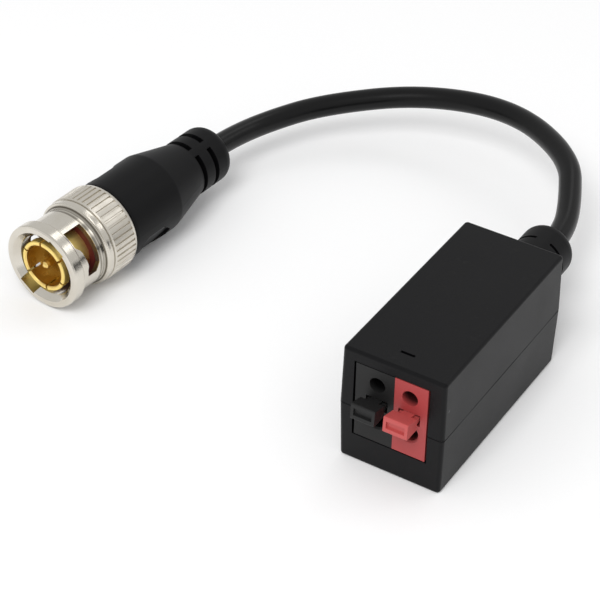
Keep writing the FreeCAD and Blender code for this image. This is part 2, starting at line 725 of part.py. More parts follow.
relief = new_body("box_strain_relief", relief_place)
bind_relief(relief)
relief_side = sketch_on(relief, "relief_side", "XZ_Plane")
INNER_WALL = "box_depth / 2 - wall"
outline(relief_side, [
    ("cord_radius", INNER_WALL + " - 1.6"),
    ("relief_radius", INNER_WALL + " - 1.6"),
    ("relief_radius", INNER_WALL + " - 0.1"),
    ("relief_neck", INNER_WALL + " - 0.1"),
    ("relief_neck", "box_depth / 2 + 0.1"),
    ("relief_radius - 0.2", "box_depth / 2 + 0.1"),
    ("relief_radius", "box_depth / 2 + 0.4"),
    ("relief_radius", "relief_end"),
    ("cord_radius", "relief_end"),
])
spin(relief, "Revolution", relief_side)
soften(relief, "Fillet", "relief_round", ring("relief_radius", "relief_end"))
relief_slits = sketch_on(relief, "relief_slits", "XZ_Plane", turn=90.0 - SIZE["relief_web_angle"])
for row in ("0", "slit_pitch", "2 * slit_pitch"):
    centre = "relief_end - relief_last_slit - " + row
    rectangle(
        relief_slits,
        "relief_radius - slit_depth",
        "relief_radius + 1",
        centre + " - slit_width / 2",
        centre + " + slit_width / 2",
    )
relief_cut = spin(relief, "Groove", relief_slits, "relief_slit_sweep", both=True)
around(relief, relief_cut, "2")

inner_end = new_body("cable_box_end", relief_place)
bind_relief(inner_end)
inner_side = sketch_on(inner_end, "cable_box_side", "XZ_Plane")
outline(inner_side, [
    ("0", "box_depth / 2 - inner_strip"),
    ("dielectric_radius", "box_depth / 2 - inner_strip"),
    ("dielectric_radius", "box_depth / 2 - jacket_strip"),
    ("cord_radius", "box_depth / 2 - jacket_strip"),
    ("cord_radius", "relief_end"),
    ("0", "relief_end"),
])
spin(inner_end, "Revolution", inner_side)

lead_x = value("relief_x")
lead_z = value("parting_height")
tail_y = value("box_depth / 2 - inner_strip")
swept("coax_conductor_tail", [
    Vector(lead_x, tail_y, lead_z),
    Vector(lead_x, tail_y - 0.55, lead_z),
    Vector(lead_x, tail_y - 0.55, value("terminal_base")),
], value("conductor_radius"))
braid_y = value("box_depth / 2 - jacket_strip")
braid_x = lead_x + value("dielectric_radius + braid_radius + 0.01")
swept("braid_tail", [
    Vector(braid_x, braid_y, lead_z),
    Vector(braid_x, braid_y - 1.2, lead_z),
    Vector(braid_x, braid_y - 1.2, value("terminal_base")),
], value("braid_radius"))

# The plug. Every piece is turned about its own Z axis, which runs from the mouth to the
# lead, and is then laid down on its side by one placement.
heading = math.radians(SIZE["plug_heading"])
forward = Vector(math.sin(heading), math.cos(heading), 0)
sideways = Vector(math.cos(heading), -math.sin(heading), 0)
PLUG_TURN = Rotation(sideways, Vector(0, 0, -1), forward, "XYZ")
PLUG_BASE = Vector(SIZE["plug_x"], SIZE["plug_y"], SIZE["plug_z"])


def plug_body(label):
    body = new_body(label, Placement(PLUG_BASE, PLUG_TURN))
    body.setExpression("Placement.Base.x", named("plug_x"))
    body.setExpression("Placement.Base.y", named("plug_y"))
    body.setExpression("Placement.Base.z", named("plug_z"))
    return body


def turned(label, corners, angle="360"):
    body = plug_body(label)
    side = sketch_on(body, label + "_side", "XZ_Plane")
    outline(side, corners)
    spin(body, "Revolution", side, angle)
    return body


SHANK_BORE = "shank_radius + running_clearance"
coupling_nut = turned("coupling_nut", [
    ("nut_mouth_radius", "0"),
    ("nut_ring_radius - 0.35", "0"),
    ("nut_ring_radius - 0.1", "0.1"),
    ("nut_ring_radius", "0.35"),
    ("nut_ring_radius", "1.9"),
    ("nut_ring_radius - 0.15", "2.1"),
    ("nut_waist_radius", "2.2"),
    ("nut_waist_radius", "collar_front - 0.6"),
    ("nut_waist_radius + 0.12", "collar_front - 0.25"),
    ("nut_waist_radius + 0.4", "collar_front"),
    ("collar_radius - 0.1", "collar_front + 0.1"),
    ("collar_radius", "collar_front + 0.25"),
    ("collar_radius", "grip_front - 0.3"),
    ("collar_radius - 0.2", "grip_front - 0.2"),
    ("collar_radius - 0.2", "grip_front"),
    ("nut_knurl_radius - 0.15", "grip_front"),
    ("nut_knurl_radius", "grip_front + 0.2"),
    ("nut_knurl_radius", "nut_length - 0.85"),
    ("nut_knurl_radius - 0.2", "nut_length - 0.25"),
    ("nut_knurl_radius - 0.45", "nut_length"),
    (SHANK_BORE + " + 1.1", "nut_length"),
    (SHANK_BORE + " + 1.1", "nut_length - 1.6"),
    (SHANK_BORE, "nut_length - 1.6"),
    (SHANK_BORE, "nut_length - 2.8"),
    ("nut_bore_radius + 0.9", "nut_length - 2.8"),
    ("nut_bore_radius + 0.9", "7.2"),
    ("nut_bore_radius + 0.35", "7.0"),
    ("nut_bore_radius + 0.35", "2.5"),
    ("nut_bore_radius", "2.35"),
    ("nut_bore_radius", "nut_mouth_depth"),
])
entry = sketch_on(coupling_nut, "stud_entry", "XY_Plane", turn=-SIZE["entry_angle"], about=Vector(0, 0, 1))
rectangle(entry, "-entry_reach", "entry_reach", "-entry_width / 2", "entry_width / 2")
extrude(coupling_nut, "Pocket", entry, "2.8", back=True)
cam = sketch_on(coupling_nut, "cam_slot", "XZ_Plane", turn=-90.0 - SIZE["cam_angle"])
outline(cam, [
    ("3.82", "2.6"),
    ("3.82", "6.15"),
    ("-2.6", "6.15"),
    ("-3.85", "5.3"),
    ("-3.85", "3.5"),
    ("-2.9", "3.5"),
    ("-2.3", "3.75"),
    ("-1.8", "3.72"),
    ("-0.6", "3.5"),
    ("0.2", "3.38"),
    ("0.7", "3.15"),
    ("1.3", "2.6"),
])
cam_cut = extrude(coupling_nut, "Pocket", cam, "nut_knurl_radius + 1")
around(coupling_nut, cam_cut, "2")
tooth = sketch_on(coupling_nut, "grip_groove", "XY_Plane", "grip_front + 0.25")
outline(tooth, [
    ("nut_knurl_radius - groove_depth", "-groove_width / 4"),
    ("nut_knurl_radius + 0.1", "-groove_width / 2"),
    ("nut_knurl_radius + 0.1", "groove_width / 2"),
    ("nut_knurl_radius - groove_depth", "groove_width / 4"),
])
tooth_cut = extrude(coupling_nut, "Pocket", tooth, "nut_length - grip_front - 1", back=True)
around(coupling_nut, tooth_cut, "grip_grooves")

outer_contact = turned("outer_contact", [
    ("contact_bore", "contact_front + 0.15"),
    ("contact_bore + 0.12", "contact_front"),
    ("contact_rim - 0.1", "contact_front"),
    ("contact_rim", "contact_front + 0.15"),
    ("contact_rim", "contact_front + 1.4"),
    ("contact_rim - contact_step", "contact_front + 1.6"),
    ("contact_rim - contact_step", "flange_front"),
    ("contact_rim + 1", "flange_front"),
    ("contact_rim + 1", "flange_back"),
    ("contact_bore", "flange_back"),
])
finger_cut = sketch_on(outer_contact, "finger_slot", "XY_Plane", "contact_front - 0.1",
                       turn=-SIZE["finger_slot_angle"], about=Vector(0, 0, 1))
rectangle(
    finger_cut,
    "contact_bore - 0.5",
    "contact_rim + 0.5",
    "-finger_slot_width / 2",
    "finger_slot_width / 2",
)
finger_pocket = extrude(outer_contact, "Pocket", finger_cut, "finger_slot_length", back=True)
around(outer_contact, finger_pocket, "finger_slots")

turned("gasket", [
    ("contact_rim - contact_step + 0.02", "gasket_front"),
    ("contact_rim + 0.8", "gasket_front"),
    ("contact_rim + 0.95", "gasket_front + 0.15"),
    ("contact_rim + 0.95", "flange_front"),
    ("contact_rim - contact_step + 0.02", "flange_front"),
])
CORE_BORE = "pin_root_radius + 0.1"
turned("plug_body", [
    ("contact_bore", "flange_back"),
    ("contact_rim + 1", "flange_back"),
    ("contact_rim + 1", "flange_back + 0.6"),
    ("nut_bore_radius + 0.6", "flange_back + 0.6"),
    ("nut_bore_radius + 0.6", "flange_back + 1.5"),
    ("shank_radius", "flange_back + 1.5"),
    ("shank_radius", "nut_length - 1.5"),
    ("shank_radius - 0.4", "nut_length - 1.5"),
    ("shank_radius - 0.4", "nut_length - 0.8"),
    ("shank_radius", "nut_length - 0.8"),
    ("shank_radius", "mould_front + 0.6"),
    ("shank_radius - 0.9", "mould_front + 0.6"),
    ("shank_radius - 0.9", "body_back"),
    (CORE_BORE, "body_back"),
    (CORE_BORE, "insulator_back"),
    ("contact_bore", "insulator_back"),
])
turned("insulator", [
    ("pin_radius", "insulator_front"),
    ("pin_radius + 0.9", "insulator_front"),
    ("pin_radius + 1", "insulator_front + 0.1"),
    ("pin_radius + 1", "insulator_front + 1.6"),
    ("contact_bore", "insulator_front + 1.6"),
    ("contact_bore", "insulator_back"),
    ("pin_root_radius", "insulator_back"),
    ("pin_root_radius", "insulator_front + pin_shoulder"),
    ("pin_radius", "insulator_front + pin_shoulder"),
])
turned("centre_pin", [
    ("0", "pin_front"),
    ("pin_radius - 0.4", "pin_front + 0.08"),
    ("pin_radius - 0.12", "pin_front + 0.35"),
    ("pin_radius", "pin_front + 0.75"),
    ("pin_radius", "insulator_front + pin_shoulder"),
    ("pin_root_radius", "insulator_front + pin_shoulder"),
    ("pin_root_radius", "insulator_back + 1.4"),
    ("0", "insulator_back + 1.4"),
])
turned("thrust_spring", [
    ("shank_radius + 0.1", "flange_back + 1.55"),
    ("shank_radius + 0.35", "flange_back + 1.55"),
    ("shank_radius + 0.85", "nut_length - 2.9"),
    ("shank_radius + 0.6", "nut_length - 2.9"),
])
turned("retaining_ring", [
    ("shank_radius - 0.35", "nut_length - 1.45"),
    ("shank_radius + 0.75", "nut_length - 1.45"),
    ("shank_radius + 0.75", "nut_length - 0.9"),
    ("shank_radius - 0.35", "nut_length - 0.9"),
], angle="330")
turned("crimp_ferrule", [
    ("cord_radius", "body_back + 0.1"),
    ("cord_radius + ferrule_wall", "body_back + 0.1"),
    ("cord_radius + ferrule_wall", "ferrule_back"),
    ("cord_radius", "ferrule_back"),
])
turned("cable_plug_end", [
    ("0", "insulator_back + 1.5"),
    ("dielectric_radius", "insulator_back + 1.5"),
    ("dielectric_radius", "body_back + 0.5"),
    ("cord_radius", "body_back + 0.5"),
    ("cord_radius", "mould_end"),
    ("0", "mould_end"),
])

overmould = turned("plug_overmould", [
    ("shank_radius", "mould_front"),
    ("mould_radius - 0.25", "mould_front"),
    ("mould_radius - 0.05", "mould_front + 0.2"),
    ("mould_radius", "mould_front + 0.6"),
    ("mould_radius", "cone_front"),
    ("mould_relief", "cone_back"),
    ("mould_relief", "mould_end"),
    ("cord_radius", "mould_end"),
    ("cord_radius", "ferrule_back"),
    ("cord_radius + ferrule_wall", "ferrule_back"),
    ("cord_radius + ferrule_wall", "body_back"),
    ("shank_radius - 0.9", "body_back"),
    ("shank_radius - 0.9", "mould_front + 0.6"),
    ("shank_radius", "mould_front + 0.6"),
])
soften(overmould, "Fillet", "cone_front_round", ring("mould_radius", "cone_front"))
soften(overmould, "Fillet", "cone_back_round", ring("mould_relief", "cone_back"))
soften(overmould, "Fillet", "mould_round", ring("mould_relief", "mould_end"))
mould_slits = sketch_on(overmould, "mould_slits", "XZ_Plane", turn=90.0 - SIZE["mould_web_angle"])
for row in ("0", "mould_slit_pitch"):
    rectangle(
        mould_slits,
        "mould_relief - slit_depth",
        "mould_relief + 1",
        "first_slit + " + row + " - mould_slit_width / 2",
        "first_slit + " + row + " + mould_slit_width / 2",
    )
mould_cut = spin(overmould, "Groove", mould_slits, "mould_slit_sweep", both=True)
around(overmould, mould_cut, "2")
thumb = sketch_on(overmould, "thumb_recess", "XZ_Plane", "thumb_flat", turn=90.0 - SIZE["thumb_angle"])
thumb_corner = "thumb_width / 2 - 0.9"
outline(thumb, [
    ("-thumb_width / 2", "thumb_front + 1.2"),
    ("-(" + thumb_corner + ")", "thumb_front"),
    (thumb_corner, "thumb_front"),
    ("thumb_width / 2", "thumb_front + 1.2"),
    ("thumb_width / 2", "thumb_back - 2.2"),
    (thumb_corner, "thumb_back - 0.9"),
    ("thumb_width / 6", "thumb_back"),
    ("-thumb_width / 6", "thumb_back"),
    ("-(" + thumb_corner + ")", "thumb_back - 0.9"),
    ("-thumb_width / 2", "thumb_back - 2.2"),
])
thumb_cut = extrude(overmould, "Pocket", thumb, "1", back=True)
around(overmould, thumb_cut, "2")

# The free lead, from the box's strain relief to the plug's moulded grip.
plug_end = PLUG_BASE + forward * SIZE["mould_end"]
ROUTE = [
    Vector(SIZE["relief_x"], SIZE["relief_end"], SIZE["parting_height"]),
    Vector(SIZE["relief_x"], SIZE["relief_end"] + 4.3, SIZE["parting_height"]),
    Vector(-2.2, 42.0, 10.5),
    Vector(-6.8, 51.0, 12.1),
    Vector(-21.05, 59.6, 11.4),
    Vector(-38.0, 58.6, 9.2),
    Vector(-51.4, 48.8, 7.7),
    Vector(-57.2, 40.0, 6.9),
    plug_end + forward * 3.8,
    plug_end,
]
swept("cable_jacket", ROUTE, SIZE["cord_radius"])

# Every piece is recomputed, looked at and written out.
doc.recompute()
os.makedirs("parts", exist_ok=True)
for item in doc.Objects:
    if "Invalid" in item.State or "Error" in item.State:
        raise RuntimeError("feature did not compute: " + item.Name)
total = 0.0
for node in NODES:
    shape = node.Shape
    if shape.isNull() or not shape.isValid():
        raise RuntimeError("shape is not valid: " + node.Label)
    shape.exportStep("parts/" + node.Label + ".step")
    total += shape.Volume
    print(node.Label, "solids", len(shape.Solids), "volume", round(shape.Volume, 2))
print("nodes", len(NODES), "volume", round(total, 1))
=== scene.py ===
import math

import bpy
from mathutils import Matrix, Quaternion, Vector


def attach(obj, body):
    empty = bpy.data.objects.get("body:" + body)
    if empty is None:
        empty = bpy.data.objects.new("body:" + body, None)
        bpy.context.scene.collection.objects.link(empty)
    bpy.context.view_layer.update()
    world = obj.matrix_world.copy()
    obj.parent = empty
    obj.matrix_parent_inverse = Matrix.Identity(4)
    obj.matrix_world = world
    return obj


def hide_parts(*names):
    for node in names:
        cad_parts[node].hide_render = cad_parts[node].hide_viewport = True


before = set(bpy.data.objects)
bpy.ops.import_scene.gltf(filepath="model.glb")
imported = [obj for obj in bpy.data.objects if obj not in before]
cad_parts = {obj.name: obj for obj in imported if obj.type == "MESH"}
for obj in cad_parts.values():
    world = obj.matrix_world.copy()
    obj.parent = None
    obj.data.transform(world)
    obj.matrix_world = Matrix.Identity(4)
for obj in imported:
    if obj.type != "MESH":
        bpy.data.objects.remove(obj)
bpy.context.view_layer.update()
# %% [markdown]
# A small video balun lies on a white table: a black plastic box with a two-pole lever
# terminal on its front, a short coaxial lead out of its back and a bayonet plug on the lead.
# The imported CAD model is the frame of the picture. It gives every rigid piece at its real
# size in metres, so this script only adds the free lead, the finishes, the light and the camera.

MM = 0.001
print("pieces in the frame:", len(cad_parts))

# %% [markdown]
# The photograph was taken from the front right and from above, with a long lens. The camera's
# place was worked out from the corners of the box, so it stands where the real one stood:
# the picture then lines up with the photograph without any shift.

# %% The camera
CAMERA_PLACE = Vector((102.08, -209.255, 197.19)) * MM
CAMERA_LOOK = Vector((-0.4126, 0.6765, -0.6100)).normalized()
CAMERA_ROLL = math.radians(1.0)
FOCAL_PIXELS = 2100
PICTURE_PIXELS = 600


def make_camera():
    """A camera at the photograph's place, level but for its small roll."""
    data = bpy.data.cameras.new("photo_camera")
    data.sensor_width = 36.0
    data.lens = data.sensor_width * FOCAL_PIXELS / PICTURE_PIXELS
    data.clip_start = 0.01
    camera = bpy.data.objects.new("photo_camera", data)
    level = CAMERA_LOOK.to_track_quat("-Z", "Y")
    camera.rotation_mode = "QUATERNION"
    camera.rotation_quaternion = level @ Quaternion((0, 0, 1), CAMERA_ROLL)
    camera.location = CAMERA_PLACE
    bpy.context.scene.collection.objects.link(camera)
    bpy.context.scene.camera = camera
    return camera


camera = make_camera()
print("lens, mm:", round(camera.data.lens, 1))

# %% [markdown]
# The lead is thin coaxial cable, 3.64 mm across and about 94 mm long, and it springs off the
# table in one wide bend. A cable keeps its own curve, so it is one smooth NURBS spline with a
# round bevel. Its control points are the corners of the route in the CAD model. Blender adds
# each point's radius, 1 m by default, to a curve's own box. So the points carry the lead's
# real radius, and the bevel only multiplies it by one.

# %% The free lead
LEAD_DIAMETER = 3.64 * MM
PLUG_MOUTH = Vector((-63.35, -13.075, 7.22)) * MM
PLUG_HEADING = math.radians(5.0)
PLUG_BACKWARDS = Vector((math.sin(PLUG_HEADING), math.cos(PLUG_HEADING), 0))
PLUG_TO_RIGHT = (PLUG_BACKWARDS.y, -PLUG_BACKWARDS.x, 0)
PLUG_LENGTH = 40.9 * MM
GRIP_END = PLUG_MOUTH + PLUG_BACKWARDS * PLUG_LENGTH
STRAIGHT_END = 3.8 * MM
BOX_EXIT = Vector((0.0, 31.2, 9.7)) * MM
LEAD_ROUTE = [
    BOX_EXIT,
    Vector((0.0, 35.5, 9.7)) * MM,
    Vector((-2.2, 42.0, 10.5)) * MM,
    Vector((-6.8, 51.0, 12.1)) * MM,
    Vector((-21.05, 59.6, 11.4)) * MM,
    Vector((-38.0, 58.6, 9.2)) * MM,
    Vector((-51.4, 48.8, 7.7)) * MM,
    Vector((-57.2, 40.0, 6.9)) * MM,
    GRIP_END + PLUG_BACKWARDS * STRAIGHT_END,
    GRIP_END,
]


def make_lead():
    """One open NURBS spline through the route, with the cable's thickness."""
    curve = bpy.data.curves.new("free_lead", "CURVE")
    curve.dimensions = "3D"
    spline = curve.splines.new("NURBS")
    spline.points.add(len(LEAD_ROUTE) - 1)
    for point, place in zip(spline.points, LEAD_ROUTE):
        point.co = (*place, 1.0)
        point.radius = LEAD_DIAMETER / 2
    spline.order_u = 3
    spline.use_endpoint_u = True
    spline.use_smooth = True
    curve.resolution_u = 24
    curve.bevel_depth = 1.0
    curve.bevel_resolution = 8
    curve.use_fill_caps = True
    lead = bpy.data.objects.new("free_lead", curve)
    bpy.context.scene.collection.objects.link(lead)
    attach(lead, "balun")
    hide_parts("cable_jacket")
    return lead


lead = make_lead()
print("points in the lead's route:", len(LEAD_ROUTE))

# %% [markdown]
# A finish is a small graph of nodes. Writing such graphs by hand is slow, so one class wraps
# the output of a node and lets Python's own arithmetic add the Math nodes. Every other node
# comes from one method, which sets a node's settings first and then fills its sockets.

# %% Arithmetic on node outputs


class Wire:
    """The output of a shader node, which takes part in sums and products."""

    def __init__(self, tree, socket=None):
        self.tree = tree
        self.socket = socket

    def node(self, kind, settings=None, inputs=None, output=0):
        """Add a node: its settings first, then the value or link of each socket."""
        made = self.tree.nodes.new(kind)
        for name, value in (settings or {}).items():
            setattr(made, name, value)
        for name, value in (inputs or {}).items():
            if isinstance(value, Wire):
                self.tree.links.new(value.socket, made.inputs[name])
            else:
                made.inputs[name].default_value = value
        return Wire(self.tree, made.outputs[output])

    def math(self, operation, first, second=0.0):
        return self.node("ShaderNodeMath", {"operation": operation}, {0: first, 1: second})

    def __add__(self, other):
        return self.math("ADD", self, other)

    __radd__ = __add__

    def __mul__(self, other):
        return self.math("MULTIPLY", self, other)

    __rmul__ = __mul__

    def __sub__(self, other):
        return self.math("SUBTRACT", self, other)

    def __rsub__(self, other):
        return self.math("SUBTRACT", other, self)

    def __truediv__(self, other):
        return self.math("DIVIDE", self, other)

    def __rtruediv__(self, other):
        return self.math("DIVIDE", other, self)

    def __pow__(self, other):
        return self.math("POWER", self, other)

    def __rpow__(self, other):
        return self.math("POWER", other, self)

    def above(self, limit):
        return self.math("GREATER_THAN", self, limit)

    def clamped(self):
        return self.node("ShaderNodeClamp", None, {0: self})

    def vector_math(self, operation, other=(0, 0, 0), output=0):
        inputs = {0: self, 1: other}
        return self.node("ShaderNodeVectorMath", {"operation": operation}, inputs, output)

    def along(self, direction):
        """How far a vector output reaches in a direction."""
        return self.vector_math("DOT_PRODUCT", direction, "Value")

    def size(self):
        return self.vector_math("LENGTH", output="Value")

    def shifted(self, offset):
        return self.vector_math("SUBTRACT", offset)

    def stretched(self, scales):
        return self.vector_math("MULTIPLY", scales)

    def mixes(self, first, second):
        """A colour between two others, with this output as the share of the second."""
        inputs = {0: self, 6: first, 7: second}
        return self.node("ShaderNodeMix", {"data_type": "RGBA"}, inputs, 2)


print("operators:", "+ - * / ** with numbers on either side")

# %% [markdown]
# Each finish starts from a Principled shader. What is the same all over goes straight on the
# shader's sockets, and only colour, roughness and the surface's relief are fed by nodes.
# Lengths inside the graphs are metres, because a CAD piece's own coordinates are metres.

# %% The start of a finish


class Finish:
    """A material with one Principled shader and the wires that feed it."""

    def __init__(self, name, **fixed):
        self.material = bpy.data.materials.new(name)
        self.material.use_nodes = True
        self.tree = self.material.node_tree
        self.shader = self.tree.nodes["Principled BSDF"]
        self.start = Wire(self.tree)
        self.place = self.start.node("ShaderNodeTexCoord", output="Object")
        for socket, value in fixed.items():
            self.shader.inputs[socket.replace("_", " ")].default_value = value

    def noise(self, size, detail=2.0, rough=0.5, place=None):
        """Cloudy noise whose blobs are about this many metres across."""
        inputs = {"Vector": place or self.place, "Scale": 1.0 / size}
        inputs.update({"Detail": detail, "Roughness": rough})
        return self.start.node("ShaderNodeTexNoise", None, inputs)

    def bands(self, distance, size, detail):
        """Noise that changes with one distance alone, so it makes rings or stripes."""
        inputs = {"W": distance, "Scale": 1.0 / size, "Detail": detail}
        return self.start.node("ShaderNodeTexNoise", {"noise_dimensions": "1D"}, inputs)

    def specks(self, size, share):
        """Small round specks: one in each cell of this size, over a share of its width."""
        inputs = {"Vector": self.place, "Scale": 1.0 / size}
        distance = self.start.node("ShaderNodeTexVoronoi", None, inputs, "Distance")
        return 1.0 - distance.above(share)

    def feed(self, socket, wire):
        self.tree.links.new(wire.socket, self.shader.inputs[socket])

    def relief(self, height, depth, strength=1.0):
        """Raise and lower the surface by a height between 0 and 1 times a depth in metres."""
        inputs = {"Height": height, "Distance": depth, "Strength": strength}
        self.feed("Normal", self.start.node("ShaderNodeBump", None, inputs))


def dress(material, *nodes):
    """Put a material on every slot of these CAD nodes."""
    for name in nodes:
        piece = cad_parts[name]
        for slot in piece.material_slots:
            slot.material = material
    print(material.name, "on", ", ".join(nodes))


# %% [markdown]
# The box is injection-moulded ABS with a fine eroded texture. It looks almost black, but the
# texture scatters light, so each face has its own grey. A very dark colour with a weak
# reflection gives that, a fine noise gives the grain, and a wide one the slightly cloudy sheen.
# It has been handled: there are specks of dust, faint smudges and one pale nick on its side.

# %% The box's plastic
NICK = Vector((8.15, -16.3, 14.3)) * MM
NICK_RADIUS = 0.22 * MM
BLACK_PLASTIC = (0.003, 0.003, 0.0036, 1)
PALE_MARK = (0.06, 0.06, 0.06, 1)


def box_plastic():
    finish = Finish("box_plastic", Specular_IOR_Level=0.16)
    cloud = finish.noise(9 * MM, 3.0)
    grain = finish.noise(0.16 * MM, 2.0, 0.6)
    dust = finish.specks(2.6 * MM, 0.03) * 0.3
    smudge = finish.noise(2.4 * MM, 6.0, 0.7).above(0.64) * grain * 0.1
    nick = 0.9 - 0.9 * finish.place.shifted(NICK).size().above(NICK_RADIUS)
    finish.feed("Base Color", (dust + smudge + nick).mixes(BLACK_PLASTIC, PALE_MARK))
    finish.feed("Roughness", 0.34 + 0.1 * cloud + 0.08 * grain)
    finish.relief(grain, 0.018 * MM)
    return finish.material


dress(box_plastic(), "upper_shell", "lower_shell")

# %% [markdown]
# The terminal is a standard two-pole part in its own plastic: one pole dark grey, one a soft
# brick red. It is moulded in polished steel, so it is smoother than the box. Its holes look
# nearly black, so shade is painted in them: their walls' colour darkens over 1.2 millimetres.

# %% The terminal's two colours
TERMINAL_FACE = -17.525 * MM
HOLE_SHADE = 1.2 * MM


def terminal_plastic(name, colour, gloss, rough):
    finish = Finish(name, Specular_IOR_Level=gloss)
    cloud = finish.noise(3 * MM, 2.0)
    grain = finish.noise(0.12 * MM, 2.0)
    paler = tuple(1.18 * part for part in colour)
    painted_hole_shade = tuple(0.15 * part for part in colour)
    outside = (cloud * 0.6).mixes((*colour, 1), (*paler, 1))
    # Painted shade in the holes: the walls' colour darkens behind the terminal's face, and the
    # walls turn rougher.
    behind = (finish.place.along((0, 1, 0)) - TERMINAL_FACE) / HOLE_SHADE
    hole_shade_share = behind.clamped()
    finish.feed("Base Color", hole_shade_share.mixes(outside, (*painted_hole_shade, 1)))
    finish.feed("Roughness", rough + 0.12 * grain + 0.4 * hole_shade_share)
    finish.relief(grain, 0.007 * MM)
    return finish.material


DARK_POLE = (0.014, 0.014, 0.014)
DARK_LEVER = (0.015, 0.015, 0.015)
RED_POLE = (0.36, 0.050, 0.050)
RED_LEVER = (0.455, 0.076, 0.073)
dress(terminal_plastic("dark_terminal", DARK_POLE, 0.2, 0.4), "terminal_body_black")
dress(terminal_plastic("red_terminal", RED_POLE, 0.35, 0.4), "terminal_body_red")
dress(terminal_plastic("dark_lever", DARK_LEVER, 0.2, 0.36), "lever_black")
dress(terminal_plastic("red_lever", RED_LEVER, 0.35, 0.36), "lever_red")

# %% [markdown]
# Soft PVC is moulded over both ends of the lead and extruded over the lead itself. It is black
# and satin. The moulded pieces carry faint flow marks; the extruded jacket is glossier and has
# a slightly uneven skin.

# %% Moulded and extruded PVC


def moulded_pvc():
    finish = Finish("moulded_pvc", Specular_IOR_Level=0.15)
    flow = finish.noise(5 * MM, 4.0, 0.6)
    grain = finish.noise(0.1 * MM, 2.0)
    finish.feed("Base Color", flow.mixes((0.002, 0.002, 0.0024, 1), (0.004, 0.004, 0.0045, 1)))
    finish.feed("Roughness", 0.38 + 0.14 * flow + 0.06 * grain)
    finish.relief(0.7 * flow + 0.3 * grain, 0.03 * MM, 0.5)
    return finish.material


def jacket_pvc():
    finish = Finish("jacket_pvc", Specular_IOR_Level=0.25)
    skin = finish.noise(0.5 * MM, 3.0, 0.6)
    waves = finish.noise(4 * MM, 2.0)
    darkest, darker = (0.0008, 0.0008, 0.001, 1), (0.002, 0.002, 0.0022, 1)
    finish.feed("Base Color", waves.mixes(darkest, darker))
    finish.feed("Roughness", 0.24 + 0.08 * waves + 0.05 * skin)
    finish.relief(skin, 0.012 * MM)
    return finish.material


dress(moulded_pvc(), "box_strain_relief", "plug_overmould")
jacket = jacket_pvc()
dress(jacket, "cable_box_end", "cable_plug_end")
lead.data.materials.append(jacket)

# %% [markdown]
# The coupling nut and the plug body are turned brass with bright nickel plate. A lathe leaves
# rings round the axis, so the relief follows the distance along the plug's axis, and the plate
# is slightly yellow. The collar keeps the tool's coarser rings, and the knurled grip behind it
# is duller than the smooth front. Dark lines of painted shade cross the step up to the collar.
# Shade is also painted on the walls inside the nut: they are darker and duller than real plate,
# or they would mirror a strip of gold.

# %% Nickel plate
# Four distances behind the plug's mouth, then the radius of the nut's inner wall.
MOUTH_DEPTH = 2.6 * MM
SLOT_BACK = 6.2 * MM
COLLAR_FRONT = 7.5 * MM
GRIP_FRONT = 8.9 * MM
INNER_WALL = 6.2 * MM
# Painted shade on the step up to the collar, drawn as dark lines along the lathe's rings.
PAINTED_STEP_SHADE = (0.10, 0.085, 0.06, 1)
# Painted shade on the walls inside the nut, in a dark red-brown.
PAINTED_WALL_SHADE = (0.10, 0.035, 0.025, 1)


def along_plug(finish):
    """The distance behind the plug's mouth, in metres."""
    return finish.place.shifted(PLUG_MOUTH).along(PLUG_BACKWARDS)


def from_axis(finish):
    """The distance from the plug's axis, in metres."""
    place = finish.place.shifted(PLUG_MOUTH)
    right, up = place.along(PLUG_TO_RIGHT), place.along((0, 0, 1))
    return (right * right + up * up) ** 0.5


def nickel_plate():
    finish = Finish("nickel_plate", Metallic=1.0)
    behind = along_plug(finish)
    rings = finish.bands(behind, 0.09 * MM, 2.0)
    coarse = finish.bands(behind, 0.3 * MM, 1.0)
    dull = finish.noise(2.2 * MM, 4.0, 0.6)
    collar_on = behind.above(COLLAR_FRONT)
    worn = behind.above(GRIP_FRONT)
    turned = collar_on - worn
    step_shade_share = behind.above(SLOT_BACK) - collar_on
    plate = dull.mixes((0.72, 0.685, 0.62, 1), (0.63, 0.59, 0.51, 1))
    # Painted shade on the walls inside the nut, which are also made duller.
    wall_shade_share = behind.above(MOUTH_DEPTH) * (1.0 - from_axis(finish).above(INNER_WALL))
    # Painted shade: dark lines on the step from the slots' back to the collar.
    outside = ((coarse - 0.25) * step_shade_share * 2.0).mixes(plate, PAINTED_STEP_SHADE)
    finish.feed("Base Color", (0.8 * wall_shade_share).mixes(outside, PAINTED_WALL_SHADE))
    finish.feed("Roughness", 0.09 + 0.14 * dull + 0.06 * rings + 0.14 * worn + 0.25 * wall_shade_share)
    finish.relief(rings * 0.12 + coarse * turned, 0.03 * MM)
    return finish.material


dress(nickel_plate(), "coupling_nut", "plug_body")

# %% [markdown]
# The slotted outer contact and the centre pin are gold plated, and they are what the plug's
# mouth shows. Gold reflects itself again and again inside the bore, which turns it a deep
# amber: the shader does this by itself if its colour is right. The contact's outside is
# rougher, and painted light makes its gold paler and a little brighter.

# %% Gold plate
CONTACT_INSIDE = 3.8 * MM


def gold_plate():
    finish = Finish("gold_plate", Metallic=1.0)
    rings = finish.bands(along_plug(finish), 0.12 * MM, 2.0)
    tone = finish.noise(1.2 * MM, 3.0)
    outside = from_axis(finish).above(CONTACT_INSIDE)
    plate = tone.mixes((0.94, 0.71, 0.26, 1), (0.86, 0.60, 0.18, 1))
    # Painted light: the contact's outside gets a paler, brighter gold.
    finish.feed("Base Color", outside.mixes(plate, (1.0, 0.79, 0.28, 1)))
    finish.feed("Roughness", 0.2 + 0.12 * tone + 0.06 * rings + 0.22 * outside)
    finish.relief(rings, 0.003 * MM)
    return finish.material


dress(gold_plate(), "outer_contact", "centre_pin")

